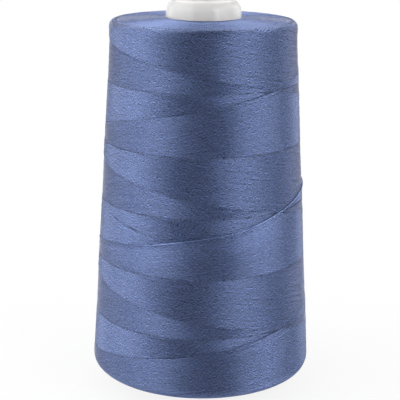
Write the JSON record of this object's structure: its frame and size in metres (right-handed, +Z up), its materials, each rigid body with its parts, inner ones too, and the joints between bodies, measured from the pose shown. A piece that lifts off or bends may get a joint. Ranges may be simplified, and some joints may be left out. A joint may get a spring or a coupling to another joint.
{
  "type": "cone of sewing thread",
  "caption": "Tall tapered package of cross-wound blue sewing thread on a hollow white plastic cone with a rounded nose and an open bore.",
  "frame": {"origin": "centre of the cone's base, on the surface that it stands on", "axes": "+Z up along the cone's axis, towards its nose; the picture looks along +Y"},
  "size_m": [0.0832, 0.0832, 0.145],
  "materials": {
    "cone_plastic": "satin, slightly translucent white moulding",
    "thread": "spun polyester thread, slate blue",
    "outer_thread": "spun polyester thread, slate blue"
  },
  "bodies": {
    "root": {"cone": "cone_plastic", "thread_package": "thread", "thread_winding": "outer_thread"}
  },
  "joints": []
}
